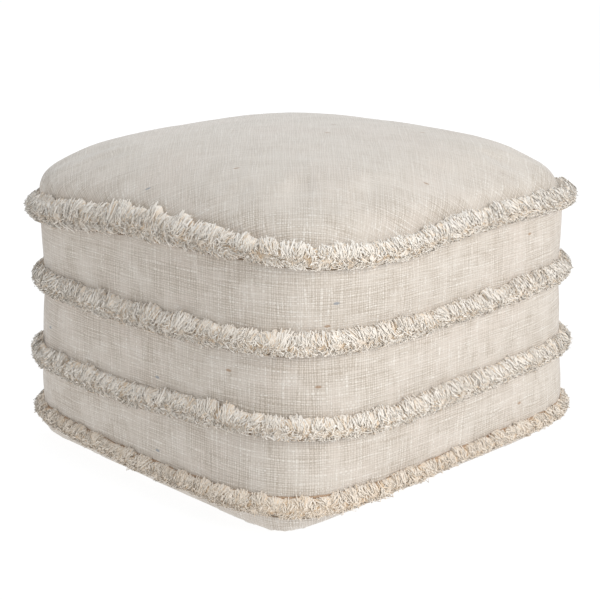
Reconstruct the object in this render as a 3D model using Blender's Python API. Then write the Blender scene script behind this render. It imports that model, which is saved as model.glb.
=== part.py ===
"""Cube pouf stool: a filled cloth cover with four bands of cut-yarn fringe sewn round it.

Metres, +Z up. The origin is the middle of the flat underside that rests on the floor.
Bearings are read round the stool from +X towards +Y.
"""

import math
import random
from collections import namedtuple

import bmesh
import bpy
from mathutils import Vector

# ---- the cover ----------------------------------------------------------------------------

COVER_COLUMNS = 72          # points round each level section
CORNER_CROWDING = 0.40      # 0 spaces them evenly, more draws them in to the rounded corners

# A level section is a rounded square: half its width, how square it is (2 is a circle),
# how many degrees it is twisted, and how far it sits off the axis.
Section = namedtuple("Section", "height half_width squareness twist shift_x shift_y")

# From the floor up to the lowest band, where the cloth is drawn in under the stool.
UNDERSIDE = (
    Section(0.0000, 0.2180, 15.0, -1.7, -0.012, -0.008),
    Section(0.0040, 0.2255, 12.0, -1.7, -0.011, -0.007),
    Section(0.0120, 0.2335, 9.0, -1.7, -0.007, -0.004),
    Section(0.0220, 0.2440, 7.0, -1.7, -0.003, -0.002),
)

# The top: above the highest band the wall swells into a shoulder, and the crown closes over it.
SHOULDER = Section(0.3145, 0.2560, 4.1, 0.6, -0.0055, -0.002)
CROWN_RISE = 0.0595         # from the shoulder to the middle of the top
CROWN_FLATNESS = 1.10       # 1 is an ellipse, more is flatter in the middle
CROWN_SQUARENESS = 3.1      # of the sections near the middle
CROWN_LEANS = (80, 70, 60, 50, 38, 25, 12)     # degrees down from the middle, one row each

# The share of the highest band's stray that the rows above it still follow.
STRAY_UNDER_SHOULDER = 0.7
STRAY_AT_SHOULDER = 0.4
STRAY_ON_CROWN = 0.25

# ---- the fringe bands ---------------------------------------------------------------------

Band = namedtuple("Band", "name height half_width squareness twist belly reach spread")

# Each band's mid-line, the wall it is sewn to, how much the wall above it bellies out,
# and how far its pile stands off the wall and spreads above and below the mid-line.
BANDS = (
    Band("fringe_base", 0.0365, 0.2520, 5.3, -1.7, 0.0015, 0.0085, 0.0090),
    Band("fringe_lower", 0.1193, 0.2530, 4.7, 1.0, 0.0010, 0.0095, 0.0135),
    Band("fringe_upper", 0.2059, 0.2527, 4.2, -0.7, 0.0005, 0.0095, 0.0135),
    Band("fringe_top", 0.2951, 0.2515, 4.6, 0.6, 0.0000, 0.0100, 0.0145),
)

# The bands were sewn by eye: how far each strays above level, in mm, at twelve bearings.
Stray = namedtuple("Stray", "bearing base lower upper top")
STRAYS = (
    Stray(-150, -1, -6, -3, -12),
    Stray(-120, -1, -8, -5, -7),
    Stray(-90, -6, -9, -5, 7),
    Stray(-60, -2, 0, -2, 5),
    Stray(-30, 2, -1, 0, -6),
    Stray(0, 6, 1, 2, 6),
    Stray(30, 6, 3, 7, 5),
    Stray(60, 4, 0, 3, -5),
    Stray(90, 1, 2, 0, -4),
    Stray(120, -2, 1, 2, 1),
    Stray(150, 2, 3, 1, 2),
    Stray(180, 0, -1, -1, -5),
)

SEAT = 0.006                # the wall runs straight this far above and below a mid-line
BELLY_ROWS = 3              # level rows between two bands
TAPE_HALF = 0.005           # the woven tape that the locks grow from
SEWN_GAP = 0.0003           # between the tape and the wall
LIP_GAP = 0.0016            # the pile's upper and lower lips hang just clear of the wall

LIP_SPREAD = 0.80           # of the pile's cut end: its lips against its full spread,
EDGE_REACH = 0.50           # the reach of its upper and lower edges,
FRONT_SPREAD = 0.48         # and the height of its front
LUMP = 0.0022               # how uneven the pile is

LOCK_LENGTH = 0.0050        # how far a lock stands out of the pile
LENGTH_LIMITS = (0.8, 1.15)     # the shortest and longest against that
LOCK_TAPER = 0.42           # its tip against its root
LOCK_SWAY = 0.25            # how far it leans aside, against its length
SEED = 11

CLOTH_COLOUR = (0.70, 0.64, 0.57, 1.0)
FRINGE_COLOUR = (0.72, 0.65, 0.54, 1.0)


# ---- level sections -----------------------------------------------------------------------

def bearing_of(column):
    """The bearing of a column, in radians; the columns crowd towards the corners."""
    even = 2 * math.pi * column / COVER_COLUMNS
    return even + CORNER_CROWDING * math.sin(4 * even) / 4


def rounded_square(section, bearing):
    """The point of a level section at a bearing."""
    squareness = section.squareness
    turned_back = bearing - math.radians(section.twist)
    spread = (abs(math.cos(turned_back)) ** squareness
              + abs(math.sin(turned_back)) ** squareness)
    radius = section.half_width / spread ** (1 / squareness)
    return Vector((section.shift_x + radius * math.cos(bearing),
                   section.shift_y + radius * math.sin(bearing),
                   section.height))


def blend(low, high, share):
    """The section a given share of the way from one to another."""
    return Section(*(a + (b - a) * share for a, b in zip(low, high)))


def stray_of(band_number, bearing):
    """How far a band strays from level at a bearing, on a smooth closed curve."""
    step = 360 / len(STRAYS)
    place = (math.degrees(bearing) - STRAYS[0].bearing) / step
    first = math.floor(place)
    share = place - first
    before, start, end, after = (
        STRAYS[(first + k) % len(STRAYS)][band_number + 1] for k in (-1, 0, 1, 2))
    leave = (end - before) / 2
    arrive = (after - start) / 2
    smooth = ((2 * share ** 3 - 3 * share ** 2 + 1) * start
              + (share ** 3 - 2 * share ** 2 + share) * leave
              + (3 * share ** 2 - 2 * share ** 3) * end
              + (share ** 3 - share ** 2) * arrive)
    return smooth / 1000


# A row of the cover: its level section, and the share of each band's stray that it follows.
Row = namedtuple("Row", "section strays")


def band_section(band, rise=0.0):
    return Section(band.height + rise, band.half_width, band.squareness, band.twist, 0.0, 0.0)


def cover_rows():
    """The cover's level rows from the floor to just under the middle of the top."""
    rows = []
    fading_in = len(UNDERSIDE)
    for number, section in enumerate(UNDERSIDE):
        rows.append(Row(section, {0: number / fading_in}))
    for number, band in enumerate(BANDS):
        rows.append(Row(band_section(band, -SEAT), {number: 1.0}))
        rows.append(Row(band_section(band, SEAT), {number: 1.0}))
        if number + 1 == len(BANDS):
            break
        low = band_section(band, SEAT)
        high = band_section(BANDS[number + 1], -SEAT)
        for belly_row in range(1, BELLY_ROWS + 1):
            share = belly_row / (BELLY_ROWS + 1)
            section = blend(low, high, share)
            swell = band.belly * math.sin(math.pi * share)
            section = section._replace(half_width=section.half_width + swell)
            rows.append(Row(section, {number: 1 - share, number + 1: share}))
    top_band = len(BANDS) - 1
    under_shoulder = blend(band_section(BANDS[-1], SEAT), SHOULDER, 0.5)
    rows.append(Row(under_shoulder, {top_band: STRAY_UNDER_SHOULDER}))
    rows.append(Row(SHOULDER, {top_band: STRAY_AT_SHOULDER}))
    for number, degrees in enumerate(CROWN_LEANS):
        lean = math.radians(degrees)
        rounding = min(1, 2 * (1 - math.sin(lean)))
        section = SHOULDER._replace(
            height=SHOULDER.height + CROWN_RISE * math.cos(lean) ** CROWN_FLATNESS,
            half_width=SHOULDER.half_width * math.sin(lean),
            squareness=SHOULDER.squareness
            + (CROWN_SQUARENESS - SHOULDER.squareness) * rounding)
        rows.append(Row(section, {top_band: STRAY_ON_CROWN / (number + 1)}))
    return rows


def row_point(row, column):
    """A row's point at a column; halfway between two columns it lies on the flat between them."""
    if column != int(column):
        return (row_point(row, math.floor(column)) + row_point(row, math.ceil(column))) / 2
    bearing = bearing_of(column)
    point = rounded_square(row.section, bearing)
    for band_number, share in row.strays.items():
        point.z += share * stray_of(band_number, bearing)
    return point


def wall_point(rows, height, column):
    """The cover's surface at a column and a height above the floor."""
    points = [row_point(row, column) for row in rows]
    for low, high in zip(points, points[1:]):
        if low.z <= height <= high.z:
            return low.lerp(high, (height - low.z) / (high.z - low.z))
    return points[-1]


def outward(row, column):
    """The level direction straight out of a row at a column."""
    ahead = row_point(row, math.floor(column) + 1)
    behind = row_point(row, math.ceil(column) - 1)
    along = ahead - behind
    return Vector((along.y, -along.x, 0)).normalized()


# ---- meshes -------------------------------------------------------------------------------

def turned(profile, columns, closed):
    """A profile of (radius, height) points turned about Z; closed joins its last to its first."""
    shape = bmesh.new()
    verts = [shape.verts.new((radius, 0, height)) for radius, height in profile]
    edges = [shape.edges.new(pair) for pair in zip(verts, verts[1:])]
    if closed:
        edges.append(shape.edges.new((verts[-1], verts[0])))
    bmesh.ops.spin(shape, geom=verts + edges, cent=(0, 0, 0), axis=(0, 0, 1),
                   angle=2 * math.pi, steps=columns, use_merge=True)
    return shape


def finish(shape, name, material):
    """Turns the faces outward and makes the named object."""
    bmesh.ops.recalc_face_normals(shape, faces=shape.faces)
    mesh = bpy.data.meshes.new(name)
    shape.to_mesh(mesh)
    shape.free()
    mesh.materials.append(material)
    mesh.shade_smooth()
    piece = bpy.data.objects.new(name, mesh)
    bpy.context.scene.collection.objects.link(piece)
    return piece


def column_of(co, columns):
    """Which turned column a vertex stands in."""
    return round(math.atan2(co.y, co.x) / (2 * math.pi) * columns) % columns


def make_cover(rows, material):
    """The filled cover: rows turned round the axis, each point then moved to its own place."""
    count = len(rows)
    shape = turned([(1, number) for number in range(count)], COVER_COLUMNS, closed=False)
    for vert in shape.verts:
        row = rows[round(vert.co.z)]
        vert.co = row_point(row, column_of(vert.co, COVER_COLUMNS))
    floor_rim = [edge for edge in shape.edges
                 if edge.is_boundary and all(vert.co.z < 0.001 for vert in edge.verts)]
    bmesh.ops.holes_fill(shape, edges=floor_rim)
    top_rim = [edge for edge in shape.edges if edge.is_boundary]
    top = bmesh.ops.holes_fill(shape, edges=top_rim)["faces"]
    middle = bmesh.ops.poke(shape, faces=top)["verts"][0]
    middle.co.z = SHOULDER.height + CROWN_RISE
    return finish(shape, "cover", material)


def pile_profile(band):
    """A band's cut end as (out of the wall, above the mid-line): the tape's back, then the pile
    over the top and down the front. It runs round once."""
    reach, spread = band.reach, band.spread
    return (
        (SEWN_GAP, -TAPE_HALF),
        (SEWN_GAP, TAPE_HALF),
        (LIP_GAP, LIP_SPREAD * spread),
        (EDGE_REACH * reach, spread),
        (reach, FRONT_SPREAD * spread),
        (reach, -FRONT_SPREAD * spread),
        (EDGE_REACH * reach, -spread),
        (LIP_GAP, -LIP_SPREAD * spread),
    )


def numbered_ring(corner_count, columns):
    """A plain ring, and for each of its vertices the column and the corner it stands for."""
    ring_radius = 3
    step = 2 * math.pi / corner_count
    corners = [(ring_radius + math.cos(step * k), math.sin(step * k))
               for k in range(corner_count)]
    shape = turned(corners, columns, closed=True)
    places = {}
    for vert in shape.verts:
        off_centre = math.hypot(vert.co.x, vert.co.y) - ring_radius
        corner = round(math.atan2(vert.co.z, off_centre) / step) % corner_count
        places[vert] = (column_of(vert.co, columns), corner)
    return shape, places


def make_fringe(rows, band_number, material):
    """One fringe band: a lumpy ring of pile on its tape, with locks standing out of it."""
    band = BANDS[band_number]
    luck = random.Random(SEED + band_number)
    profile = pile_profile(band)
    columns = 2 * COVER_COLUMNS
    seat_row = Row(band_section(band), {band_number: 1.0})
    shape, places = numbered_ring(len(profile), columns)
    lumps = [[luck.uniform(-1, 1) for _ in profile] for _ in range(columns)]
    for vert, (column, corner) in places.items():
        out, rise = profile[corner]
        if out > LIP_GAP:
            lump = lumps[column][corner]
            out += LUMP * lump
            rise += math.copysign(LUMP * (0.5 + 0.5 * lump), rise)
        middle = row_point(seat_row, column / 2)
        straight_out = outward(seat_row, column / 2)
        wall = wall_point(rows, middle.z + rise, column / 2)
        swell = max(0, (wall - middle).dot(straight_out))
        vert.co = middle + straight_out * (swell + out)
        vert.co.z = middle.z + rise
    make_locks(shape, places, luck)
    return finish(shape, band.name, material)


def make_locks(shape, places, luck):
    """Draws a tapered lock out of every second column of the pile, one up and the next down."""
    upper_corners, lower_corners = {3, 4}, {5, 6}
    roots = []
    for face in shape.faces:
        low, high = sorted({places[vert][0] for vert in face.verts})
        column = low if high - low == 1 else high
        corners = {places[vert][1] for vert in face.verts}
        grows_up = column % 4 == 0 and corners == upper_corners
        grows_down = column % 4 == 2 and corners == lower_corners
        if grows_up or grows_down:
            roots.append(face)
    for root in roots:
        root.normal_update()
        lean = root.normal.copy()
        lean.x += luck.uniform(-LOCK_SWAY, LOCK_SWAY)
        lean.y += luck.uniform(-LOCK_SWAY, LOCK_SWAY)
        middle = root.calc_center_median()
        grown = bmesh.ops.extrude_discrete_faces(shape, faces=[root])["faces"][0]
        length = LOCK_LENGTH * luck.uniform(*LENGTH_LIMITS)
        for vert in grown.verts:
            vert.co = middle + (vert.co - middle) * LOCK_TAPER + lean * length


def cloth_material(name, colour):
    material = bpy.data.materials.new(name)
    material.use_nodes = True
    shader = material.node_tree.nodes["Principled BSDF"]
    shader.inputs["Base Color"].default_value = colour
    shader.inputs["Roughness"].default_value = 0.9
    shader.inputs["Metallic"].default_value = 0.0
    return material


def main():
    for leftover in list(bpy.data.objects):
        bpy.data.objects.remove(leftover, do_unlink=True)
    rows = cover_rows()
    make_cover(rows, cloth_material("cloth", CLOTH_COLOUR))
    yarn = cloth_material("fringe", FRINGE_COLOUR)
    for band_number in range(len(BANDS)):
        make_fringe(rows, band_number, yarn)


main()
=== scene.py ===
import math

import bmesh
import bpy
import numpy as np
from mathutils import Matrix, Vector, noise
from mathutils.bvhtree import BVHTree


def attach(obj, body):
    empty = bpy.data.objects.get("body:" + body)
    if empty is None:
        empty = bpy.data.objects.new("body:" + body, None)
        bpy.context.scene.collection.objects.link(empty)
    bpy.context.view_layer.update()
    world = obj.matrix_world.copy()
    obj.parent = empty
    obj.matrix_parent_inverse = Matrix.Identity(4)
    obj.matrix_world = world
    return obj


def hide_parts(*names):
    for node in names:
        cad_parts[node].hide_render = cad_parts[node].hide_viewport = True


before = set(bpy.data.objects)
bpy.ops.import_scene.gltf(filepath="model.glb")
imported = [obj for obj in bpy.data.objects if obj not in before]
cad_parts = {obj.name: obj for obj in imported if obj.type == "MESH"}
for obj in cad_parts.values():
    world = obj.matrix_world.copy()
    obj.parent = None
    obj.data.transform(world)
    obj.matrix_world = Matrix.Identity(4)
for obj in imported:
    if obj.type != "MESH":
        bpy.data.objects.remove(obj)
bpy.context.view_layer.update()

# Cube pouf stool: a filled slub-cotton cover and four bands of cut-yarn fringe.
# Metres, +Z up. Bearings run round the stool from +X towards +Y.

scene = bpy.context.scene

camera = {
    "bearing": 44.435,  # degrees round from the -Y side towards +X
    "height": 15.541,  # degrees above level
    "distance": 1.6679,
    "lookAt": (0, 0, 0.1679),
    "lens": 83.826,
    "shift": (-0.00296, -0.00374),
}

studio = {
    "floorRadius": 14.0,
    "floorGlow": 0.90,  # the pale floor is lit from within, so it stays near white
    "floorPaint": (0.16, 0.16, 0.16, 1),
    "sky": (0.88, 0.92, 0.955, 1),  # straight up
    "horizon": (0.56, 0.54, 0.515, 1),
    "skyFade": (0.1, 0.8),  # sines of the heights where the horizon's tone ends and the sky's starts
    "skyStrength": 0.90,
    "lightAim": (0, 0, 0.2),
    "key": {"at": (3.15, 0.10, 1.75), "size": 1.7, "power": 56, "colour": (1.0, 0.985, 0.965)},
    "back": {"at": (-1.9, 1.9, 1.5), "size": 2.0, "power": 14, "colour": (0.96, 0.98, 1.0)},
}


# camera, light and floor

def makeCamera(look):
    a = math.radians(look["bearing"])
    e = math.radians(look["height"])
    back = Vector((math.sin(a) * math.cos(e), -math.cos(a) * math.cos(e), math.sin(e)))
    data = bpy.data.cameras.new("camera")
    data.sensor_width = 36
    data.lens = look["lens"]
    data.shift_x, data.shift_y = look["shift"]
    eye = bpy.data.objects.new("camera", data)
    eye.location = Vector(look["lookAt"]) + back * look["distance"]
    eye.rotation_euler = back.to_track_quat("Z", "Y").to_euler()
    scene.collection.objects.link(eye)
    scene.camera = eye


def makeLight(name, look, aim):
    data = bpy.data.lights.new(name, "AREA")
    data.shape = "DISK"
    data.size = look["size"]
    data.energy = look["power"]
    data.color = look["colour"]
    lamp = bpy.data.objects.new(name, data)
    lamp.location = look["at"]
    lamp.rotation_euler = (Vector(look["at"]) - Vector(aim)).to_track_quat("Z", "Y").to_euler()
    scene.collection.objects.link(lamp)


def makeStudio(look):
    world = bpy.data.worlds.new("studio")
    world.use_nodes = True
    tree = world.node_tree
    sky = tree.nodes["Background"]
    way = tree.nodes.new("ShaderNodeTexCoord")
    level = tree.nodes.new("ShaderNodeSeparateXYZ")
    tree.links.new(way.outputs["Generated"], level.inputs[0])
    fade = tree.nodes.new("ShaderNodeMapRange")
    tree.links.new(level.outputs[2], fade.inputs["Value"])
    fade.inputs["From Min"].default_value = look["skyFade"][0]
    fade.inputs["From Max"].default_value = look["skyFade"][1]
    tone = tree.nodes.new("ShaderNodeMix")
    tone.data_type = "RGBA"
    tree.links.new(fade.outputs[0], tone.inputs[0])
    tone.inputs[6].default_value = look["horizon"]
    tone.inputs[7].default_value = look["sky"]
    tree.links.new(tone.outputs[2], sky.inputs["Color"])
    sky.inputs["Strength"].default_value = look["skyStrength"]
    scene.world = world
    makeLight("keyLight", look["key"], look["lightAim"])
    makeLight("backLight", look["back"], look["lightAim"])

    shape = bmesh.new()
    bmesh.ops.create_circle(shape, cap_ends=True, segments=96, radius=look["floorRadius"])
    mesh = bpy.data.meshes.new("floor")
    shape.to_mesh(mesh)
    shape.free()
    floor = bpy.data.objects.new("floor", mesh)
    floor.location.z = -0.0005  # just under the stool, so the two faces never share a plane
    paint = bpy.data.materials.new("paleFloor")
    paint.use_nodes = True
    shader = paint.node_tree.nodes["Principled BSDF"]
    shader.inputs["Base Color"].default_value = look["floorPaint"]
    shader.inputs["Roughness"].default_value = 1.0
    shader.inputs["Specular IOR Level"].default_value = 0.0
    shader.inputs["Emission Color"].default_value = (1, 1, 1, 1)
    shader.inputs["Emission Strength"].default_value = look["floorGlow"]
    mesh.materials.append(paint)
    scene.collection.objects.link(floor)


makeCamera(camera)
makeStudio(studio)
scene.view_settings.view_transform = "Standard"
scene.view_settings.look = "None"
print("stage: camera, light and floor are up")


# node helpers

def setInput(tree, node, key, value):
    if isinstance(value, bpy.types.NodeSocket):
        tree.links.new(value, node.inputs[key])
    else:
        node.inputs[key].default_value = value


def addNode(tree, kind, inputs=None, **settings):
    node = tree.nodes.new(kind)
    for key, value in settings.items():
        setattr(node, key, value)
    for key, value in (inputs or {}).items():
        setInput(tree, node, key, value)
    return node


def maths(tree, operation, *values, clamp=False):
    node = tree.nodes.new("ShaderNodeMath")
    node.operation = operation
    node.use_clamp = clamp
    for place, value in enumerate(values):
        setInput(tree, node, place, value)
    return node.outputs[0]


def noiseOn(tree, vector, scale, detail=2.0, roughness=0.5, kind="2D"):
    # scale is per metre, one number or one for each axis
    if not isinstance(scale, tuple):
        scale = (scale, scale, scale)
    placed = addNode(tree, "ShaderNodeMapping", {"Vector": vector, "Scale": scale})
    texture = addNode(tree, "ShaderNodeTexNoise",
                      {"Vector": placed.outputs[0], "Scale": 1.0, "Detail": detail,
                       "Roughness": roughness}, noise_dimensions=kind)
    return texture.outputs[0]


def spread(tree, value, low, high, toLow=0.0, toHigh=1.0):
    # a smooth step between two values
    node = addNode(tree, "ShaderNodeMapRange",
                   {"Value": value, "From Min": low, "From Max": high,
                    "To Min": toLow, "To Max": toHigh}, interpolation_type="SMOOTHSTEP")
    return node.outputs[0]


def mixColours(tree, share, low, high, kind="MIX"):
    node = tree.nodes.new("ShaderNodeMix")
    node.data_type = "RGBA"
    node.blend_type = kind
    setInput(tree, node, 0, share)
    setInput(tree, node, 6, low)
    setInput(tree, node, 7, high)
    return node.outputs[2]


def newMaterial(name):
    material = bpy.data.materials.new(name)
    material.use_nodes = True
    return material, material.node_tree, material.node_tree.nodes["Principled BSDF"]


def addBump(tree, shader, height, strength, relief):
    bump = addNode(tree, "ShaderNodeBump", {"Height": height, "Strength": strength, "Distance": relief})
    tree.links.new(bump.outputs[0], shader.inputs["Normal"])


def addSheen(shader, weight, roughness, tint):
    shader.inputs["Sheen Weight"].default_value = weight
    shader.inputs["Sheen Roughness"].default_value = roughness
    shader.inputs["Sheen Tint"].default_value = tint


# slub cotton

slubCotton = {
    "warpPitch": 0.00265,  # one yarn to the next, round the stool
    "weftPitch": 0.00255,
    "unevenness": 1.9,  # how much thick and thin yarns crowd each other
    "slubLength": 34.0,  # thick streaks per metre along a yarn
    "shadeLength": 7.0,  # slower changes of a yarn's own tone, per metre
    "yarn": (0.690, 0.632, 0.568, 1),
    "slub": (0.800, 0.757, 0.700, 1),
    # painted shade: the gap colour stands for the shade that falls between the yarns
    "gap": (0.470, 0.410, 0.345, 1),
    "darkYarn": (0.600, 0.545, 0.480, 1),
    "warmPatch": (0.700, 0.632, 0.568, 1),
    "blueFleck": (0.260, 0.290, 0.330, 1),
    "brownFleck": (0.360, 0.230, 0.140, 1),
    "fleckCells": 22.0,  # per metre
    "fleckLess": 0.72,  # the share of the cells that stay clean
    "fleckBlue": 0.55,  # the share of the flecks that are blue
    "fleckEdge": (0.042, 0.022),  # from faint to full, in cells
    "fleckDepth": 0.75,
    "crowdAcross": 0.50,  # how fast the crowding changes from yarn to yarn, and along them
    "crowdAlong": 0.045,
    "dip": 0.42,  # how far a yarn sinks where it passes under another
    "openPatches": 26.0,  # per metre, where the weave is more open
    "warmPatches": 9.0,  # per metre
    "fuzz": 2600.0,  # per metre
    "crownFrom": (0.318, 0.350),  # between these heights the walls' weave gives way to the crown's
    "crownWeave": 0.50,  # over the crown the weave shows this much of its gaps and streaks
    "crownTurn": 45,  # the sheet over the crown lies cornerwise, in degrees
    "bump": 0.55,
    "relief": 0.0006,
    "sheen": (0.30, 0.40, (0.94, 0.97, 1.0, 1)),  # weight, roughness, tint
}


def makeSlubCotton(look):
    material, tree, shader = newMaterial("slubCotton")
    weave = addNode(tree, "ShaderNodeUVMap", uv_map="weave").outputs[0]
    axes = addNode(tree, "ShaderNodeSeparateXYZ", {"Vector": weave})
    perWarp, perWeft = 1 / look["warpPitch"], 1 / look["weftPitch"]

    across, along = look["crowdAcross"], look["crowdAlong"]
    warpCrowd = noiseOn(tree, weave, (across * perWarp, along * perWeft, 1), detail=1.0)
    weftCrowd = noiseOn(tree, weave, (along * perWarp, across * perWeft, 1), detail=1.0)
    warp = maths(tree, "MULTIPLY_ADD", axes.outputs[0], perWarp,
                 maths(tree, "MULTIPLY", warpCrowd, look["unevenness"]))
    weft = maths(tree, "MULTIPLY_ADD", axes.outputs[1], perWeft,
                 maths(tree, "MULTIPLY", weftCrowd, look["unevenness"]))
    warpNumber = maths(tree, "FLOOR", warp)
    weftNumber = maths(tree, "FLOOR", weft)
    warpRound = maths(tree, "SINE", maths(tree, "MULTIPLY", maths(tree, "FRACT", warp), math.pi))
    weftRound = maths(tree, "SINE", maths(tree, "MULTIPLY", maths(tree, "FRACT", weft), math.pi))

    # plain weave: each yarn goes over one and under the next
    warpOver = maths(tree, "SINE", maths(tree, "MULTIPLY", maths(tree, "ADD", weft, warpNumber), math.pi))
    weftOver = maths(tree, "SINE", maths(tree, "MULTIPLY", maths(tree, "ADD", warp, weftNumber), math.pi))
    dip = look["dip"]
    warpHigh = maths(tree, "MULTIPLY", warpRound, maths(tree, "MULTIPLY_ADD", warpOver, dip, 1 - dip))
    weftHigh = maths(tree, "MULTIPLY", weftRound, maths(tree, "MULTIPLY_ADD", weftOver, -dip, 1 - dip))
    height = maths(tree, "MAXIMUM", warpHigh, weftHigh)
    warpOnTop = maths(tree, "GREATER_THAN", warpHigh, weftHigh)

    # slubs: a yarn swells and pales for a few centimetres at a time
    quick = look["slubLength"]
    warpSlub = noiseOn(tree, weave, (0.80 * perWarp, quick, 1), detail=2.0, roughness=0.6)
    weftSlub = noiseOn(tree, weave, (quick, 0.80 * perWeft, 1), detail=2.0, roughness=0.6)
    slub = addNode(tree, "ShaderNodeMix", {0: warpOnTop, 2: weftSlub, 3: warpSlub}).outputs[0]
    slubShare = spread(tree, slub, 0.50, 0.74)
    thinShare = spread(tree, slub, 0.48, 0.28)

    slow = look["shadeLength"]
    warpShade = noiseOn(tree, weave, (0.9 * perWarp, slow, 1), detail=1.0)
    weftShade = noiseOn(tree, weave, (slow, 0.9 * perWeft, 1), detail=1.0)
    shade = addNode(tree, "ShaderNodeMix", {0: warpOnTop, 2: weftShade, 3: warpShade}).outputs[0]

    patches = noiseOn(tree, weave, look["warmPatches"], detail=3.0)
    openPatches = noiseOn(tree, weave, look["openPatches"], detail=3.0, roughness=0.6)
    openness = spread(tree, openPatches, 0.34, 0.66, 0.42, 1.0)
    spot = addNode(tree, "ShaderNodeTexCoord").outputs["Object"]
    level = addNode(tree, "ShaderNodeSeparateXYZ", {"Vector": spot}).outputs[2]
    # over the crown the painted gap shade and the slub streaks are weaker
    flatter = spread(tree, level, *look["crownFrom"], 1.0, look["crownWeave"])
    openness = maths(tree, "MULTIPLY", openness, flatter)
    yarn = mixColours(tree, spread(tree, patches, 0.35, 0.70), look["yarn"], look["warmPatch"])
    yarn = mixColours(tree, spread(tree, shade, 0.50, 0.24, 0.0, 0.60), yarn, look["darkYarn"])
    streaks = maths(tree, "MAXIMUM", slubShare, spread(tree, shade, 0.60, 0.80))
    yarn = mixColours(tree, maths(tree, "MULTIPLY", streaks, flatter), yarn, look["slub"])
    # painted shade: where the yarns sink and the weave is open, the cloth takes the darker gap colour as
    # the shade between them
    depth = spread(tree, height, 0.30, 0.80)
    depth = maths(tree, "MULTIPLY", depth, maths(tree, "MULTIPLY_ADD", thinShare, -0.45, 1.0), clamp=True)
    gapShade = maths(tree, "MULTIPLY", maths(tree, "SUBTRACT", 1.0, depth), openness)
    cloth = mixColours(tree, gapShade, yarn, look["gap"])

    # here and there a speck of seed husk or blue lint is spun in
    cells = look["fleckCells"]
    placed = addNode(tree, "ShaderNodeMapping", {"Vector": weave, "Scale": (0.45 * cells, cells, 1)})
    husks = addNode(tree, "ShaderNodeTexVoronoi", {"Vector": placed.outputs[0], "Scale": 1.0},
                    voronoi_dimensions="2D")
    luck = addNode(tree, "ShaderNodeSeparateColor", {"Color": husks.outputs["Color"]})
    chosen = maths(tree, "GREATER_THAN", luck.outputs[0], look["fleckLess"])
    near = spread(tree, husks.outputs["Distance"], *look["fleckEdge"])
    fleck = mixColours(tree, maths(tree, "GREATER_THAN", luck.outputs[1], look["fleckBlue"]),
                       look["blueFleck"], look["brownFleck"])
    flecked = maths(tree, "MULTIPLY", maths(tree, "MULTIPLY", near, chosen), look["fleckDepth"])
    cloth = mixColours(tree, flecked, cloth, fleck)
    tree.links.new(cloth, shader.inputs["Base Color"])

    swell = maths(tree, "MULTIPLY_ADD", slubShare, 0.45, 0.75)
    relief = maths(tree, "MULTIPLY", height, swell)
    fuzz = noiseOn(tree, weave, look["fuzz"], detail=1.0)
    relief = maths(tree, "MULTIPLY_ADD", fuzz, 0.18, relief)
    addBump(tree, shader, relief, look["bump"], look["relief"])
    tree.links.new(spread(tree, height, 0.2, 0.9, 0.95, 0.80), shader.inputs["Roughness"])
    shader.inputs["Specular IOR Level"].default_value = 0.25
    addSheen(shader, *look["sheen"])
    return material


# cut yarn

cutYarn = {
    # painted shade: the warm tan at a yarn's root stands for the warm shade deep in the pile; towards its
    # tip the yarn takes its own cream
    "root": (0.840, 0.655, 0.465, 1),
    "middle": (0.945, 0.885, 0.800, 1),
    "tip": (0.960, 0.915, 0.855, 1),
    # painted shade: the tan that fills the furrows between the fibres
    "grooveShade": (0.800, 0.605, 0.410, 1),
    "darkTan": (0.82, 0.69, 0.55, 1),  # what a low tint takes away from these: painted shade on the yarns' inner sides, the packed yarns and the base band, and a darker tan on a few yarns at random
    "tape": (0.520, 0.370, 0.260, 1),
    # partly painted shadow: the dark strip under each band is the fringe's sewn edge and also stands for
    # the shadow under the pile's overhang
    "hemAndShadow": (0.300, 0.225, 0.160, 1),
    "bump": 0.4,
    "roughness": 0.88,
    "sheen": (0.8, 0.6, (1.0, 0.96, 0.90, 1)),  # weight, roughness, tint
}


def makeCutYarn(look, name, grooveShadeShare, relief):
    # the third argument is how much painted shade darkens the fine furrows between the fibres, and relief
    # is how deep they are
    material, tree, shader = newMaterial(name)
    along = addNode(tree, "ShaderNodeAttribute", attribute_name="along").outputs["Fac"]
    tint = addNode(tree, "ShaderNodeAttribute", attribute_name="tint").outputs["Fac"]
    strand = addNode(tree, "ShaderNodeAttribute", attribute_name="strand").outputs["Vector"]
    fibres = noiseOn(tree, strand, (1.6, 1.6, 1.0), detail=3.0, roughness=0.6, kind="3D")
    paled = maths(tree, "MULTIPLY_ADD", maths(tree, "SUBTRACT", fibres, 0.5), 0.25, along)
    # painted shade: the colour runs from the tan of the pile's shade at the root to the cream of the tip
    colour = mixColours(tree, spread(tree, paled, 0.12, 0.46), look["root"], look["middle"])
    colour = mixColours(tree, spread(tree, paled, 0.50, 0.90), colour, look["tip"])
    # a low tint moves the colour towards the darker tan: painted shade on inner sides, packed yarns and the
    # base band, and a few darker yarns at random
    darker = mixColours(tree, 1.0, colour, look["darkTan"], kind="MULTIPLY")
    colour = mixColours(tree, tint, darker, colour)
    # painted shade: the furrows between the fibres take the darker tan
    colour = mixColours(tree, spread(tree, fibres, 0.53, 0.38, 0.0, grooveShadeShare), colour, look["grooveShade"])
    tree.links.new(colour, shader.inputs["Base Color"])
    addBump(tree, shader, fibres, look["bump"], relief)
    shader.inputs["Roughness"].default_value = look["roughness"]
    shader.inputs["Specular IOR Level"].default_value = 0.25
    addSheen(shader, *look["sheen"])
    return material


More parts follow.
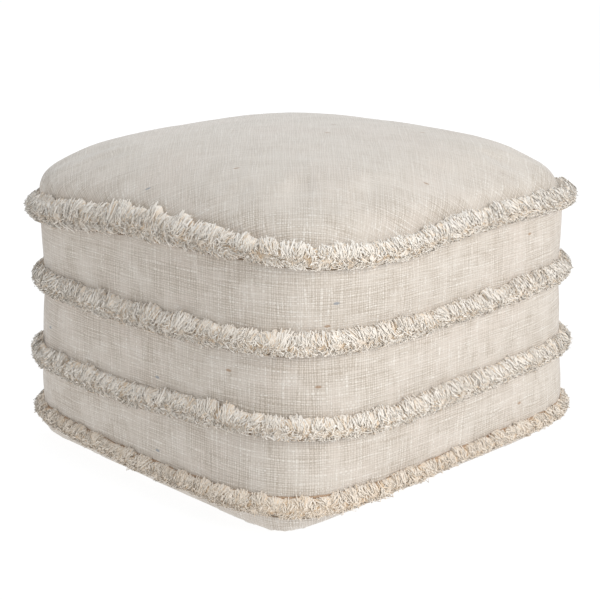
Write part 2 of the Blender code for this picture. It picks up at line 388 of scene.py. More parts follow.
def makeBackingCloth(name, colour):
    material, tree, shader = newMaterial(name)
    spot = addNode(tree, "ShaderNodeTexCoord").outputs["Object"]
    grain = noiseOn(tree, spot, 700.0, detail=2.0, kind="3D")
    darkerGrain = tuple(c * 0.8 for c in colour[:3]) + (1,)
    tone = mixColours(tree, spread(tree, grain, 0.35, 0.65), darkerGrain, colour)
    tree.links.new(tone, shader.inputs["Base Color"])
    addBump(tree, shader, grain, 0.5, 0.0004)
    shader.inputs["Roughness"].default_value = 0.92
    shader.inputs["Specular IOR Level"].default_value = 0.2
    return material


# shared shape helpers

def rowsOf(items, key):
    # a row of three numbers for each item
    flat = np.empty(len(items) * 3)
    items.foreach_get(key, flat)
    return flat.reshape(-1, 3)


def coordinates(mesh):
    return rowsOf(mesh.vertices, "co")


def moveTo(mesh, places):
    mesh.vertices.foreach_set("co", np.ascontiguousarray(places, dtype=float).ravel())
    mesh.update()


def newPiece(name, mesh):
    piece = bpy.data.objects.new(name, mesh)
    scene.collection.objects.link(piece)
    return piece


def settled(piece):
    # the piece's mesh as its modifiers leave it
    bpy.context.view_layer.update()
    graph = bpy.context.evaluated_depsgraph_get()
    return bpy.data.meshes.new_from_object(piece.evaluated_get(graph))


def swapMesh(piece, mesh):
    piece.modifiers.clear()
    old = piece.data
    piece.data = mesh
    bpy.data.meshes.remove(old)
    return mesh


def treeOf(mesh):
    return BVHTree.FromPolygons([v.co for v in mesh.vertices], [p.vertices for p in mesh.polygons])


def bearingOf(places):
    return np.arctan2(places[:, 1], places[:, 0])


def evenBearing(step, steps):
    return -math.pi + 2 * math.pi * step / steps


def unit(vectors, least=1e-6):
    return vectors / np.maximum(np.linalg.norm(vectors, axis=-1, keepdims=True), least)


def bandHeights(nodeName, steps=180, reach=3, blur=2.5):
    # the height of a band's mid-line at even bearings, from its solid, smoothed
    places = coordinates(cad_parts[nodeName].data)
    slot = np.floor((bearingOf(places) + math.pi) / (2 * math.pi) * steps).astype(int) % steps
    rows = np.arange(steps)
    near = [offset % steps for offset in range(-reach, reach + 1)]
    heights = np.array([places[np.isin((slot - row) % steps, near)][:, 2].mean() for row in rows])
    around = np.exp(-0.5 * (np.minimum(rows, steps - rows) / blur) ** 2)
    return np.real(np.fft.ifft(np.fft.fft(heights) * np.fft.fft(around / around.sum())))


def heightAt(heights, bearings):
    steps = len(heights)
    place = (bearings + math.pi) / (2 * math.pi) * steps - 0.5
    low = np.floor(place).astype(int)
    share = place - low
    return heights[low % steps] * (1 - share) + heights[(low + 1) % steps] * share


# the cover

coverCloth = {
    "voxel": 0.0072,
    "smoothing": 16,
    "quality": 4,
    "mass": 0.3,
    "stretch": 12,  # how stiff the cloth is against stretching and pressing together
    "bending": 0.6,
    "pressure": 4.0,
    "frames": 20,
    "mostSwell": 0.0035,  # how far the filling may push a point
    "sewnHalf": 0.0060,  # the cloth is held this far above and below a band's mid-line
    "heldFoot": 0.004,  # and below this height
    "ripple": 0.0007,
    "rippleScales": (16, 41),  # per metre, the second half as strong
    "rippleFrom": 0.02,  # the ripples fade out below this height
    "footHeight": 0.028,
    "flatFoot": 0.0012,  # what is lower than this rests on the floor
    "fill": 0.9,
}
bandNames = ("fringe_base", "fringe_lower", "fringe_upper", "fringe_top")
midLines = {name: bandHeights(name) for name in bandNames}


def pressOut(piece, look):
    # lets the filling push the cloth out between the sewn rows
    mesh = piece.data
    start = coordinates(mesh)
    bearings = bearingOf(start)
    held = start[:, 2] < look["heldFoot"]
    for heights in midLines.values():
        held |= np.abs(start[:, 2] - heightAt(heights, bearings)) < look["sewnHalf"]
    group = piece.vertex_groups.new(name="sewn")
    group.add([int(k) for k in np.nonzero(held)[0]], 1.0, "REPLACE")
    cloth = piece.modifiers.new("filling", "CLOTH")
    cloth.settings.quality = look["quality"]
    cloth.settings.mass = look["mass"]
    cloth.settings.tension_stiffness = look["stretch"]
    cloth.settings.compression_stiffness = look["stretch"]
    cloth.settings.bending_stiffness = look["bending"]
    cloth.settings.vertex_group_mass = "sewn"
    cloth.settings.use_pressure = True
    cloth.settings.uniform_pressure_force = look["pressure"]
    cloth.settings.effector_weights.gravity = 0
    cloth.collision_settings.use_collision = False
    cloth.collision_settings.use_self_collision = False
    cloth.point_cache.frame_start = 1
    cloth.point_cache.frame_end = look["frames"]
    for number in range(1, look["frames"] + 1):
        scene.frame_set(number)
    blown = settled(piece)
    pushed = coordinates(blown) - start
    reach = np.linalg.norm(pushed, axis=1, keepdims=True)
    print("stage: the filling pushed the cloth by up to", round(float(reach.max()) * 1000, 1), "mm")
    kept = np.tanh(reach / look["mostSwell"]) * look["mostSwell"] / np.maximum(reach, 1e-9)
    moveTo(blown, start + pushed * kept)
    swapMesh(piece, blown)
    scene.frame_set(1)


def rippleCloth(mesh, look):
    places = coordinates(mesh)
    normals = rowsOf(mesh.vertices, "normal")
    broad, fine = look["rippleScales"]
    lift = np.array([noise.noise(Vector(p) * broad) + 0.5 * noise.noise(Vector(p) * fine) for p in places])
    lift *= np.clip(places[:, 2] / look["rippleFrom"], 0, 1)
    moved = places + normals * (lift * look["ripple"])[:, None]
    moved[:, 2] = np.maximum(moved[:, 2], 0)
    moveTo(mesh, moved)


def keepFoot(mesh, look):
    # the evening out rounds the foot off, so near the floor the cloth goes back to its solid
    form = treeOf(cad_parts["cover"].data)
    places = coordinates(mesh)
    for number in np.nonzero(places[:, 2] < look["footHeight"])[0]:
        spot = Vector(places[number])
        near = form.find_nearest(spot)[0]
        share = min(1.0, 2 * (1 - spot.z / look["footHeight"]))
        places[number] = spot.lerp(near, share)
    moveTo(mesh, places)


def makeCover(look):
    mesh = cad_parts["cover"].data.copy()
    shape = bmesh.new()
    shape.from_mesh(mesh)
    bmesh.ops.remove_doubles(shape, verts=shape.verts, dist=0.00001)
    shape.to_mesh(mesh)
    shape.free()
    piece = newPiece("coverCloth", mesh)
    remesh = piece.modifiers.new("evenMesh", "REMESH")
    remesh.mode = "VOXEL"
    remesh.voxel_size = look["voxel"]
    soften = piece.modifiers.new("soften", "SMOOTH")
    soften.factor = 0.5
    soften.iterations = look["smoothing"]
    mesh = swapMesh(piece, settled(piece))
    keepFoot(mesh, look)
    pressOut(piece, look)
    rippleCloth(piece.data, look)
    finer = piece.modifiers.new("finer", "SUBSURF")
    finer.levels = finer.render_levels = 1
    mesh = swapMesh(piece, settled(piece))
    places = coordinates(mesh)
    places[:, 2] = np.where(places[:, 2] < look["flatFoot"], 0.0, places[:, 2])
    moveTo(mesh, places)
    mesh.shade_smooth()
    return piece


coverPiece = makeCover(coverCloth)
coverWall = treeOf(coverPiece.data)
print("stage: the cover has", len(coverPiece.data.polygons), "faces")


# the lie of the weave

weaveLie = {
    "steps": 360,  # bearings at which the walls are measured
    "height": 0.16,  # and how high
    "crownCentre": (-0.005, -0.002, 0.300),
    "crownBearings": 72,
    "crownLeans": (90, -12, 52),  # degrees above level, from the middle of the top, and how many
    "crownOffset": 5.0,  # metres, so the crown and the underside start elsewhere in the pattern
    "footOffset": 9.0,
    "footBelow": 0.002,
}


def wallFoot(bearing, height):
    # where the wall stands at a bearing and height
    out = Vector((math.cos(bearing), math.sin(bearing), 0))
    return coverWall.ray_cast(Vector((0, 0, height)) + out * 0.6, -out)[0]


def bilinear(grid, first, second):
    # grid wraps round on its first axis and is clamped on its second
    turns = grid.shape[0]
    low = np.floor(first).astype(int)
    share = (first - low)[:, None]
    second = np.clip(second, 0, grid.shape[1] - 1.001)
    step = np.floor(second).astype(int)
    rise = (second - step)[:, None]
    wide = grid.reshape(grid.shape[0], grid.shape[1], -1)
    a, b = low % turns, (low + 1) % turns
    return ((wide[a, step] * (1 - share) + wide[b, step] * share) * (1 - rise)
            + (wide[a, step + 1] * (1 - share) + wide[b, step + 1] * share) * rise)


def walkRound(ring):
    # the way walked to each point of a closed line, and back to the first
    gaps = np.linalg.norm(np.roll(ring, -1, axis=0) - ring, axis=1)
    return np.concatenate([[0], np.cumsum(gaps)])


def measureCrown(look):
    # how far the cloth runs from the middle of the top, at even bearings and leans
    leans = np.radians(np.linspace(*look["crownLeans"]))
    crown = np.zeros((look["crownBearings"], len(leans)))
    for row in range(len(crown)):
        bearing = evenBearing(row, len(crown))
        before, length = None, 0.0
        for column, lean in enumerate(leans):
            ray = Vector((math.cos(bearing) * math.cos(lean), math.sin(bearing) * math.cos(lean),
                          math.sin(lean)))
            hit = coverWall.ray_cast(Vector(look["crownCentre"]), ray)[0]
            length += (hit - before).length if before else 0.0
            crown[row, column] = length
            before = hit
    return crown


def layWeave(piece, look):
    # the walls are one strip wound round the stool; over the crown the cloth is a square sheet
    mesh = piece.data
    steps = look["steps"]
    walked = walkRound(np.array([wallFoot(evenBearing(k, steps), look["height"]) for k in range(steps)]))
    crown = measureCrown(look)

    places = coordinates(mesh)
    corners = np.empty(len(mesh.loops), dtype=int)
    mesh.loops.foreach_get("vertex_index", corners)
    sizes = np.empty(len(mesh.polygons), dtype=int)
    mesh.polygons.foreach_get("loop_total", sizes)
    owner = np.repeat(np.arange(len(sizes)), sizes)
    at = places[corners]
    middle = np.zeros((len(sizes), 3))
    np.add.at(middle, owner, at)
    middle /= sizes[:, None]

    turn = bearingOf(at)
    home = bearingOf(middle)[owner]
    turn = np.where(turn - home > math.pi, turn - 2 * math.pi, turn)
    turn = np.where(turn - home < -math.pi, turn + 2 * math.pi, turn)
    place = (turn + math.pi) / (2 * math.pi) * steps
    whole = np.floor(place / steps)
    around = np.interp(place - whole * steps, np.arange(steps + 1), walked) + whole * walked[-1]
    uv = np.stack([around, at[:, 2]], axis=1)

    fromCentre = at - np.array(look["crownCentre"])
    level = np.linalg.norm(fromCentre[:, :2], axis=1)
    lean = np.degrees(np.arctan2(fromCentre[:, 2], level))
    first, last, count = look["crownLeans"]
    row = (bearingOf(fromCentre) + math.pi) / (2 * math.pi) * len(crown)
    length = bilinear(crown, row, (first - lean) / ((first - last) / (count - 1)))[:, 0]
    onTop = middle[:, 2] > heightAt(midLines["fringe_top"], bearingOf(middle))
    over = fromCentre[:, :2] / np.maximum(level, 1e-6)[:, None] * length[:, None]
    slant = math.radians(slubCotton["crownTurn"])
    turned = np.array([[math.cos(slant), -math.sin(slant)], [math.sin(slant), math.cos(slant)]])
    over = over @ turned + look["crownOffset"]
    under = at[:, :2] + look["footOffset"]
    below = middle[:, 2] < look["footBelow"]
    uv = np.where(onTop[owner][:, None], over, uv)
    uv = np.where(below[owner][:, None], under, uv)
    layer = mesh.uv_layers.new(name="weave")
    layer.data.foreach_set("uv", uv.ravel())


layWeave(coverPiece, weaveLie)
coverPiece.data.materials.clear()
coverPiece.data.materials.append(makeSlubCotton(slubCotton))
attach(coverPiece, "root")
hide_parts("cover")
print("stage: the cover is dressed")


# the fringe bands

yarn = {
    "thick": (0.0, 0.00090, 0.00074),  # from its root to its cut tip
    "flat": 0.75,  # its depth against its width
    "twist": 0.22,  # how far its flat side may turn
    "inwards": 0.3,  # how much its inner side leans to the wall
    "clear": 1.1,  # its line stays this much of its thickness off the wall
    "grain": (1.0, 1.0, 1.3),  # how fast its fibres change across it and along it
    # painted shade: a yarn's inner side, towards the wall, is tinted darker and warmer
    "innerShadeTint": 0.1,  # its inner side is darker
}
# how the cover is measured along a band
survey = {
    "columns": 480,
    "rise": 0.0025,  # from one height to the next
    "rows": 12,  # heights above the sewn line, and as many below it
    "lowest": 0.002,
    "evenings": 6,  # how often each way out is evened with its neighbours
}
pile = {
    "part": -10,  # degrees above straight out, where the yarns part to go up and down
    "partWander": 13,  # how far a lock's root may be from there
    # each row of locks: its tips lie between two angles, one lock to the next in metres,
    # the row's share of the yarns, and how far its locks stand out and reach up or down
    "rows": {"upper": {"from": 26, "to": 88, "pitch": 0.0150, "share": 0.46, "deep": (0.90, 1.06),
                       "long": (0.84, 1.24), "lean": 0.0028},
             "middle": {"from": -36, "to": 36, "pitch": 0.0105, "share": 0.22, "deep": (0.80, 1.02),
                        "long": (0.90, 1.10), "lean": 0.0024},
             "lower": {"from": -24, "to": -84, "pitch": 0.0115, "share": 0.34, "deep": (0.90, 1.04),
                       "long": (0.86, 1.02), "lean": 0.0014}},
    "crowd": 0.80,  # less than 1 gathers the tips towards the far angle
    "squeeze": 0.90,  # the tips of a lock stand this much closer than even
    "swap": 0.0016,  # how far yarns stray along the band into the next lock
    "deep": (1.04, 0.12, 0.025),  # a lock's middle, what it loses at its sides, and its luck
    "long": (1.03, 0.10, 0.06),  # the same for its reach up or down
    "stray": 0.0020,  # how unevenly the tips were cut
    "curl": 0.0024,  # how far a yarn bends out of its own line
    "darkTan": (0.10, 0.1),  # the share of yarns tinted darker tan at random, and their tint
    "tint": (0.7, 1.0),  # of the others
    "loose": 0.45,  # the share of short yarns that belong to no lock
    "looseAside": (0.9, 0.002),  # a loose root stands so near its own tip, give or take
    "looseDeep": (0.92, 1.03),
    "root": (0.25, 0.05, 0.50),  # its share of the way aside, its luck in angle, and its depth
    "bend": (0.60, 0.35, 0.38, 1.45),  # its shares of the way aside, lean and angle, and its depth
    "angles": (-88, 89),  # no yarn goes past these
    "mostTall": 1.06,
    "clear": 0.0012,  # the pile's face stands at least this far off the wall
    "taper": 1.15,  # 1 is a round pile, more thins it towards its upper and lower edges
    "wobble": 0.10,  # how uneven the edges are
    "wobbles": 13.0,  # more makes the unevenness shorter
    "thick": (0.80, 1.20),  # one yarn against another
    "blend": (0.40, 0.65),  # how far a yarn's inner and outer sides shade as part of the whole pile
    "round": (0.30, 0.0030),  # how much that shading turns up and down with height, and always up
}
# long loose yarns in a band
strays = {
    "count": 60,
    "angles": (-0.6, 1.35),  # radians above straight out
    "long": (1.10, 1.40),
    "root": (0.002, 0.003),  # its luck in height, and how far out it is
    "tip": (0.006, 0.0015),  # its luck along the band, and how far out it is at least
    "curl": 0.0022,
    "tint": (0.4, 1.0),
    "thick": 0.8,
}
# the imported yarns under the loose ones: the shape of the locks, with creases between them
packed = {
    "columns": 1000,
    "angles": (-86, 89, 17),  # from the lower edge to the upper one, and how many points
    "crease": 0.77,  # how far the bottom of a crease stands out
    "full": 0.985,  # and the middle of a lock, against its loose yarns
    "edge": 0.88,  # how far up or down a crease reaches
    "long": 0.97,  # and the middle of a lock, against its loose yarns
    "swell": (0.9, 4),  # how soon and how steeply a lock falls into a crease
    "seam": (1.2, 6),  # the same for its tone
    "width": 0.50,  # a lock's width at its root against its tip's
    "seamWidth": 0.72,
    "rise": (0.35, 0.35),  # its depth at its root, and the share of its way to full depth
    # painted shade: how far the colour runs from tan to cream; a seam between locks stays near the tan as
    # its shade
    "tone": (0.16, 0.50, 0.32), # in a seam, more on a lock's root, and still more on its tip
    # painted shade: the packed yarns lie in the pile's shade, so they are tinted darker and warmer
    "tint": 0.8,
    "fan": 0.25,  # how close its yarns stand at the root against its tip
    "grain": 0.0011,  # one yarn to the next
    "blend": 0.45,
    "back": 0.0003,  # its back stands this far off the wall
}
# thin strips along the bands' edges; a corner is (out, share of the pile's height, up from there)
strip = {
    "columns": 320,
    "waves": 55,  # per metre
    # the strip under each band's lower edge is partly the fringe's real sewn edge and partly painted
    # shadow, a dark line under the pile
    "hemAndShadow": {"wander": 0.0015, "corners": ((0.0002, -0.95, -0.0005), (0.0002, -0.95, 0.0010),
                                          (0.0010, -0.95, 0.0010), (0.0010, -0.95, -0.0002))},
    "tape": {"wander": 0.0030, "corners": ((0.0002, 1, -0.0030), (0.0002, 1, 0),
                                           (0.0010, 1, -0.0002), (0.0010, 1, -0.0030))},
}
# up and down is how far the pile stands above and below the sewn line, where it is fullest;
# full is the share of that at a few bearings, because the makers trimmed it unevenly; tapeAbove
# is where the tape ends against the pile's upper edge, or 0 where none shows
fringe = {
    # painted shade: the base band's yarn tints are scaled down to 0.65, so it is painted darker and warmer
    # as the shade near the floor
    "fringe_base": {"up": 0.0105, "down": 0.0110, "reach": 0.0100, "yarns": 9600, "seed": 41, "unshadedShare": 0.65,
        "full": ((-135, 1.0), (-90, 1.0), (-60, 1.02), (-45, 1.20), (-30, 0.98),
                 (0, 0.88), (45, 0.92), (135, 1.0)),
        "tapeAbove": -0.0008},
    "fringe_lower": {"up": 0.0142, "down": 0.0148, "reach": 0.0120, "yarns": 13200, "seed": 42, "unshadedShare": 1.0,
        "full": ((-135, 0.92), (-90, 1.0), (-60, 0.92), (-40, 0.86), (0, 0.84),
                 (45, 0.88), (135, 0.95)),
        "tapeAbove": 0},
    "fringe_upper": {"up": 0.0142, "down": 0.0142, "reach": 0.0120, "yarns": 13200, "seed": 43, "unshadedShare": 1.0,
        "full": ((-135, 0.96), (-80, 1.0), (-50, 0.88), (0, 0.84), (45, 0.88),
                 (135, 0.95)),
        "tapeAbove": 0},
    "fringe_top": {"up": 0.0182, "down": 0.0172, "reach": 0.0135, "yarns": 13200, "seed": 44, "unshadedShare": 1.0,
        "full": ((-135, 0.88), (-90, 1.0), (-70, 0.98), (-55, 0.74), (-40, 0.72),
                 (0, 0.74), (45, 0.76), (90, 0.85), (180, 0.88)),
        "tapeAbove": 0},
}


def unrolled(heights, full, look):
    # the cover along one band: its sewn line, the way out of it, and how the wall stands to it
    columns = look["columns"]
    rows = np.arange(-look["rows"], look["rows"] + 1) * look["rise"]
    feet = np.zeros((columns, len(rows), 3))
    for column in range(columns):
        bearing = evenBearing(column, columns)
        middle = float(heightAt(heights, np.array([bearing]))[0])
        for row, up in enumerate(rows):
            feet[column, row] = wallFoot(bearing, max(look["lowest"], middle + up))
    line = feet[:, len(rows) // 2]
    ahead = np.roll(line, -1, axis=0) - np.roll(line, 1, axis=0)
    out = np.stack([ahead[:, 1], -ahead[:, 0], np.zeros(columns)], axis=1)
    for _ in range(look["evenings"]):
        out = unit(out + np.roll(out, 1, axis=0) + np.roll(out, -1, axis=0))
    stand = np.einsum("crk,ck->cr", feet - line[:, None], out)
    walked = walkRound(line)
    bearings, shares = np.array(full).T
    turns = np.radians(-180 + 360 * np.arange(columns + 1) / columns)
    fullness = np.interp(np.degrees(turns), bearings, shares, period=360)
    fast, start = pile["wobbles"], heights[0] * 900
    spots = [(math.cos(t) * fast, math.sin(t) * fast) for t in turns]
    wobbles = [[1 + pile["wobble"] * noise.noise(Vector((*spot, start + side))) for spot in spots]
               for side in (0, 5)]
    return {"line": line, "out": out, "rise": look["rise"], "walked": walked, "length": walked[-1],
            # measured straight out from the sewn line, the wall never falls back behind it
            "stand": np.maximum(stand, 0), "full": fullness * np.array(wobbles)}


def fullAt(wall, along, up):
    # the pile's height against its fullest, above the sewn line and below it
    place = np.mod(along, wall["length"])
    above, below = (np.interp(place, wall["walked"], edge) for edge in wall["full"])
    return np.where(up > 0, above, below)


def onWall(wall, along, up, out):
    columns, rows = wall["stand"].shape
    column = np.interp(np.mod(along, wall["length"]), wall["walked"], np.arange(columns + 1))
    low = np.floor(column).astype(int)
    share = (column - low)[:, None]
    a, b = low % columns, (low + 1) % columns
    line = wall["line"][a] * (1 - share) + wall["line"][b] * share
    facing = unit(wall["out"][a] * (1 - share) + wall["out"][b] * share)
    stand = bilinear(wall["stand"], column, up / wall["rise"] + rows // 2)[:, 0]
    spot = line + facing * (stand + out)[:, None]
    spot[:, 2] += up
    return spot


def makeYarnMesh():
    # one straight closed yarn, a unit long, from a pointed root to a cut tip, to be repeated and bent
    shape = bmesh.new()
    bmesh.ops.create_cone(shape, cap_ends=True, segments=3, radius1=0, radius2=1,
                          depth=1, matrix=Matrix.Translation((0, 0, 0.5)))
    upright = [edge for edge in shape.edges if abs(edge.verts[0].co.z - edge.verts[1].co.z) > 0.5]
    bmesh.ops.subdivide_edges(shape, edges=upright, cuts=1, use_grid_fill=True)
    mesh = bpy.data.meshes.new("yarn")
    shape.to_mesh(mesh)
    shape.free()
    return mesh


def repeated(mesh, count):
    piece = newPiece("copies", mesh)
    copies = piece.modifiers.new("copies", "ARRAY")
    copies.count = count
    copies.use_relative_offset = False
    manyCopies = settled(piece)
    bpy.data.objects.remove(piece)
    return manyCopies


def onPile(look, along, angle, size):
    # a point of the pile's rounded face, at an angle above straight out: (along, up, out)
    angle = np.clip(angle, *np.radians(pile["angles"]))
    tall = np.where(angle > 0, look["up"], look["down"])
    return np.stack([along, tall * np.sin(angle) * np.minimum(size, pile["mostTall"]),
                     look["reach"] * np.cos(angle) ** pile["taper"] * size + pile["clear"]], axis=1)


def scattered(rows, columns, luck, jitter):
    # (row, column) places on a jittered grid, every second row half a step along, as shares of 1
    row = np.repeat(np.arange(rows), columns)
    column = np.tile(np.arange(columns), rows) + 0.5 * (row % 2)
    return ((row + 0.5 + luck.uniform(-jitter, jitter, len(row))) / rows,
            (column + luck.uniform(-jitter, jitter, len(row))) / columns)


def layLocks(row, length, luck):
    # where the locks of one row are rooted, and how each stands
    count = round(length / row["pitch"])
    return {"row": row, "length": length,
            "home": (np.arange(count) + 0.5 + luck.uniform(-0.45, 0.45, count)) * length / count,
            "deep": luck.uniform(*row["deep"], count), "long": luck.uniform(*row["long"], count),
            "lean": luck.normal(0, row["lean"], count),
            "part": np.radians(pile["part"] + luck.uniform(-1, 1, count) * pile["partWander"])}


def lockAt(locks, along):
    # the nearest lock, and how far to its side a place is
    half = locks["length"] / 2
    gap = np.mod(along[:, None] - locks["home"][None] + half, locks["length"]) - half
    own = np.abs(gap).argmin(axis=1)
    return own, gap[np.arange(len(own)), own]


def planRow(locks, look, luck):
    # each lock of yarns fans out from its own root
    row, length = locks["row"], locks["length"]
    low, high = math.radians(row["from"]), math.radians(row["to"])
    girth = ((look["up"] if high > 0 else look["down"]) + look["reach"]) / 2
    arc = abs(high - low) * girth
    yarnPitch = math.sqrt(length * arc / (look["yarns"] * row["share"]))
    share, tipAlong = scattered(round(arc / yarnPitch), round(length / yarnPitch), luck, 0.5)
    tipAngle = low + (high - low) * share ** pile["crowd"]
    count = len(tipAngle)
    own, aside = lockAt(locks, tipAlong * length + luck.normal(0, pile["swap"], count))
    home, lean, part = (locks[key][own] for key in ("home", "lean", "part"))
    edge = np.abs(aside) / (0.5 * row["pitch"])
    size, long = (locks[key][own] * (most - less * edge ** 2) * luck.normal(1, chance, count)
                  for key, (most, less, chance) in (("deep", pile["deep"]), ("long", pile["long"])))
    loose = luck.uniform(0, 1, count) < pile["loose"]
    near, wander = pile["looseAside"]
    home = np.where(loose, home + aside * near, home)
    aside = np.where(loose, aside * (1 - near) + luck.normal(0, wander, count), aside)
    size = np.where(loose, luck.uniform(*pile["looseDeep"], count), size)
    trim = luck.normal(0, pile["stray"], (count, 2))
    tipHome = home + aside * pile["squeeze"] + lean + trim[:, 0]
    tip = onPile(look, tipHome, tipAngle + trim[:, 1] / girth, size)
    out, turned, deep = pile["root"]
    root = onPile(look, home + out * aside, part + luck.normal(0, turned, count), np.full(count, deep))
    out, leaning, turned, deep = pile["bend"]
    bend = onPile(look, home + out * aside + leaning * lean, part + turned * (tipAngle - part), size)
    bend[:, 1:] *= deep
    tip[:, 1] *= long
    bend += luck.normal(0, pile["curl"], (count, 3))
    # some yarns, chosen at random, are tinted darker tan
    darkTanShare, darkTanTint = pile["darkTan"]
    darkTan = luck.uniform(0, 1, count) < darkTanShare
    tint = np.where(darkTan, darkTanTint, luck.uniform(*pile["tint"], count))
    return root, bend, tip, tint


def planYarns(look, wall, rows, luck):
    planned = [planRow(row, look, luck) for row in rows.values()]
    root, bend, tip, tint = (np.concatenate(part) for part in zip(*planned))
    count = len(tint)

    more = strays["count"]
    where = luck.uniform(0, wall["length"], more)
    way = luck.uniform(*strays["angles"], more)
    long = luck.uniform(*strays["long"], more)
    wander, out = strays["root"]
    strayRoot = np.stack([where, luck.normal(0, wander, more), np.full(more, out)], axis=1)
    wander, out = strays["tip"]
    strayTip = np.stack([where + luck.normal(0, wander, more),
                         (look["up"] + look["down"]) / 2 * np.sin(way) * long,
                         look["reach"] * np.cos(way) * (0.5 + 0.5 * long) + out], axis=1)
    strayBend = (strayRoot + strayTip) / 2 + luck.normal(0, strays["curl"], (more, 3))
    plan = {"root": np.concatenate([root, strayRoot]), "bend": np.concatenate([bend, strayBend]),
            "tip": np.concatenate([tip, strayTip])}
    for points in plan.values():
        points[:, 1] *= fullAt(wall, points[:, 0], points[:, 1])
    # a band's tint share below 1 paints shade on its yarns
    plan["tint"] = np.concatenate([tint, luck.uniform(*strays["tint"], more)]) * look["unshadedShare"]
    plan["thick"] = np.concatenate([luck.uniform(*pile["thick"], count), np.full(more, strays["thick"])])
    return plan


def dressYarn(mesh, wall, flat, blend, along, tint, grain):
    # puts unrolled places on the wall, with what the shading and the finish read
    places = onWall(wall, flat[:, 0], flat[:, 1], flat[:, 2])
    moveTo(mesh, places)
    outwards = unit(onWall(wall, flat[:, 0], flat[:, 1], flat[:, 2] + 0.001) - places)
    tall, always = pile["round"]
    soft = unit(outwards * flat[:, 2:3] + np.array([0, 0, 1.0]) * (tall * flat[:, 1:2] + always)) * blend
    for name, vectors in (("soft", soft), ("strand", grain)):
        mesh.attributes.new(name, "FLOAT_VECTOR", "POINT").data.foreach_set("vector", vectors.ravel())
    for name, values in (("along", along), ("tint", tint)):
        mesh.attributes.new(name, "FLOAT", "POINT").data.foreach_set("value", values)


def bendYarns(mesh, plan, wall, look, luck):
    # gives every copy its own line out of the wall
    count = len(plan["tint"])
    straight = coordinates(mesh).reshape(count, -1, 3)
    rings = len(look["thick"])
    share = np.linspace(0, 1, rings)[None, :, None]
    line = (plan["root"][:, None] * (1 - share) ** 2 + plan["bend"][:, None] * 2 * share * (1 - share)
            + plan["tip"][:, None] * share ** 2)
    line[:, :, 2] = np.maximum(line[:, :, 2], look["thick"][1] * look["clear"])
    way = unit(np.gradient(line, axis=1))
    # most lie with a flat side along the outside of their curve, as packed yarns do
    guide = unit(plan["root"] + plan["tip"] - 2 * plan["bend"])
    guide += np.array([0, 0, -look["inwards"]]) + luck.normal(0, look["twist"], (count, 3))
    first = unit(np.cross(guide[:, None], way))
    second = np.cross(way, first)
    ring = np.rint(straight[:, :, 2] * (rings - 1)).astype(int)
    rows = np.arange(count)[:, None]
    thick = np.array(look["thick"])[ring][:, :, None] * plan["thick"][:, None, None]
    depth = straight[:, :, 1:2] * look["flat"]
    at = line[rows, ring] + (first[rows, ring] * straight[:, :, 0:1] + second[rows, ring] * depth) * thick
    grain = straight * np.array(look["grain"]) + luck.uniform(0, 90, (count, 1, 3))
    inner = straight[:, :, 1].ravel() > 0.5
    blend = np.where(inner, *pile["blend"])[:, None]
    # painted shade: each yarn's inner side, towards the wall, is tinted darker and warmer
    tint = np.repeat(plan["tint"], straight.shape[1]) * np.where(inner, look["innerShadeTint"], 1.0)
    dressYarn(mesh, wall, at.reshape(-1, 3), blend, straight[:, :, 2].ravel(), tint, grain.reshape(-1, 3))


def spinRing(corners, columns):
    # a closed ring of so many corners, with each point's corner and bearing
    shape = bmesh.new()
    step = 2 * math.pi / corners
    verts = [shape.verts.new((3 + math.cos(step * k), 0, math.sin(step * k))) for k in range(corners)]
    edges = [shape.edges.new((verts[k - 1], verts[k])) for k in range(corners)]
    bmesh.ops.spin(shape, geom=verts + edges, cent=(0, 0, 0), axis=(0, 0, 1),
                   angle=2 * math.pi, steps=columns, use_merge=True)
    bmesh.ops.recalc_face_normals(shape, faces=shape.faces)
    mesh = bpy.data.meshes.new("ring")
    shape.to_mesh(mesh)
    shape.free()
    places = coordinates(mesh)
    off = np.hypot(places[:, 0], places[:, 1]) - 3
    return mesh, np.rint(np.arctan2(places[:, 2], off) / step).astype(int) % corners, bearingOf(places)


def makeStrip(kind, wall, look, raised=0):
    edge = strip[kind]
    mesh, corner, bearing = spinRing(len(edge["corners"]), strip["columns"])
    out, share, extra = np.array(edge["corners"])[corner].T
    along = (bearing + math.pi) / (2 * math.pi) * wall["length"]
    tall = np.where(share > 0, look["up"], look["down"]) * fullAt(wall, along, share)
    waves = np.array([noise.noise(Vector((a * strip["waves"], look["seed"], 0))) for a in along])
    up = share * tall + extra + raised + waves * edge["wander"]
    moveTo(mesh, onWall(wall, along, up, out))
    return mesh


def grown(start, share):
    # from start to 1
    return start + (1 - start) * share


def dome(aside, soon, steep):
    # from 1 in the middle to 0 far aside
    return np.exp(-soon * aside ** steep)


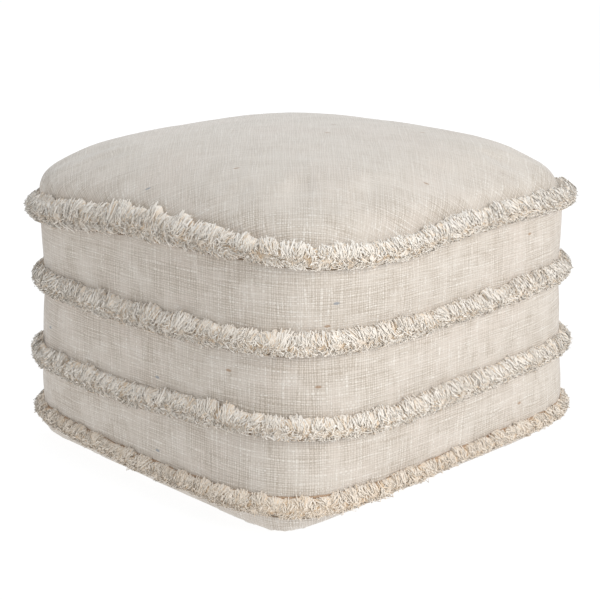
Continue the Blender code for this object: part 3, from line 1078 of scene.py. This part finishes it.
def makePacked(wall, look, rows):
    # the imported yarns: one closed ring that swells at each lock and falls back between them
    angles = np.radians(np.linspace(*packed["angles"]))
    last = len(angles) - 1
    mesh, corner, bearing = spinRing(len(angles) + 2, packed["columns"])
    along = (bearing + math.pi) / (2 * math.pi) * wall["length"]
    behind = corner > last
    angle = angles[np.where(behind, np.where(corner == last + 1, last, 0), corner)]
    part = rows["upper"]["part"][lockAt(rows["upper"], along)[0]]
    size, long, tone = np.zeros((3, len(along)))
    grain = np.zeros((len(along), 3))
    crease, low = packed["crease"], packed["edge"]
    start, full = packed["rise"]
    seamShade, rootTone, moreTone = packed["tone"]
    for name, far in (("upper", angles[-1]), ("lower", angles[0])):
        locks = rows[name]
        here = (angle > part) if name == "upper" else (angle <= part)
        gone = np.clip((angle - part) / (far - part), 0, 1)[here]
        own = lockAt(locks, along[here])[0]
        own, aside = lockAt(locks, along[here] - locks["lean"][own] * gone ** 2)
        half = 0.5 * locks["row"]["pitch"]
        swell = dome(np.abs(aside) / (half * grown(packed["width"], gone)), *packed["swell"])
        rise = np.clip(gone / full, 0, 1)
        rise = grown(start, rise * rise * (3 - 2 * rise))
        size[here] = crease + (packed["full"] * locks["deep"][own] - crease) * swell * rise
        longest = low + (packed["long"] * locks["long"][own] - low) * swell
        long[here] = 1 + (longest - 1) * gone
        seam = dome(np.abs(aside) / (half * grown(packed["seamWidth"], gone)), *packed["seam"])
        # painted shade: the seams between locks keep the tan root colour
        tone[here] = seamShade + seam * (rootTone + moreTone * gone)
        fan = aside / grown(packed["fan"], gone) / packed["grain"]
        grain[here] = np.stack([fan, gone * 1.3 + own * 3.1, own * 7.7], axis=1)
    flat = onPile(look, along, angle, size)
    flat[:, 1] *= long * fullAt(wall, along, flat[:, 1])
    flat[:, 2] = np.where(behind, packed["back"], flat[:, 2])
    # painted shade: the packed yarns' darker tint
    tint = np.full(len(along), packed["tint"] * look["unshadedShare"])
    dressYarn(mesh, wall, flat, packed["blend"], tone, tint, grain)
    return mesh


def joined(meshes, name):
    whole = bmesh.new()
    for number, mesh in enumerate(meshes):
        for polygon in mesh.polygons:
            polygon.material_index = number
        whole.from_mesh(mesh)
        bpy.data.meshes.remove(mesh)
    mesh = bpy.data.meshes.new(name)
    whole.to_mesh(mesh)
    whole.free()
    return mesh


def softenShade(mesh):
    # a pile of fine fibres shades as one soft body, so each yarn's shading leans that way
    own = rowsOf(mesh.vertices, "normal")
    soft = rowsOf(mesh.attributes["soft"].data, "vector")
    mixed = unit(own * (1 - np.linalg.norm(soft, axis=1, keepdims=True)) + soft)
    mesh.normals_split_custom_set_from_vertices([tuple(v) for v in mixed])


def makeFringe(nodeName, look, materials):
    wall = unrolled(midLines[nodeName], look["full"], survey)
    luck = np.random.default_rng(look["seed"])
    rows = {name: layLocks(row, wall["length"], luck) for name, row in pile["rows"].items()}
    plan = planYarns(look, wall, rows, luck)
    yarns = repeated(makeYarnMesh(), len(plan["tint"]))
    bendYarns(yarns, plan, wall, yarn, luck)
    meshes = [yarns, makePacked(wall, look, rows), makeStrip("hemAndShadow", wall, look)]
    if look["tapeAbove"]:
        meshes.append(makeStrip("tape", wall, look, look["tapeAbove"]))
    mesh = joined(meshes, nodeName + "Yarns")
    for material in materials:
        mesh.materials.append(material)
    mesh.shade_smooth()
    softenShade(mesh)
    piece = newPiece(nodeName + "Yarns", mesh)
    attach(piece, "root")
    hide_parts(nodeName)
    triangles = sum(len(p.vertices) - 2 for p in mesh.polygons)
    print("stage:", piece.name, "has", len(plan["tint"]), "yarns and", triangles, "triangles round",
          round(wall["length"], 3), "m")


# in the order of a band's meshes
fringeMaterials = [makeCutYarn(cutYarn, "cutYarn", 0.0, 0.0001),
                   makeCutYarn(cutYarn, "packedYarn", 0.9, 0.0009),
                   makeBackingCloth("fringeHemAndShadow", cutYarn["hemAndShadow"]),
                   makeBackingCloth("fringeTape", cutYarn["tape"])]
for nodeName, look in fringe.items():
    makeFringe(nodeName, look, fringeMaterials)

print("stage: all pieces are made")
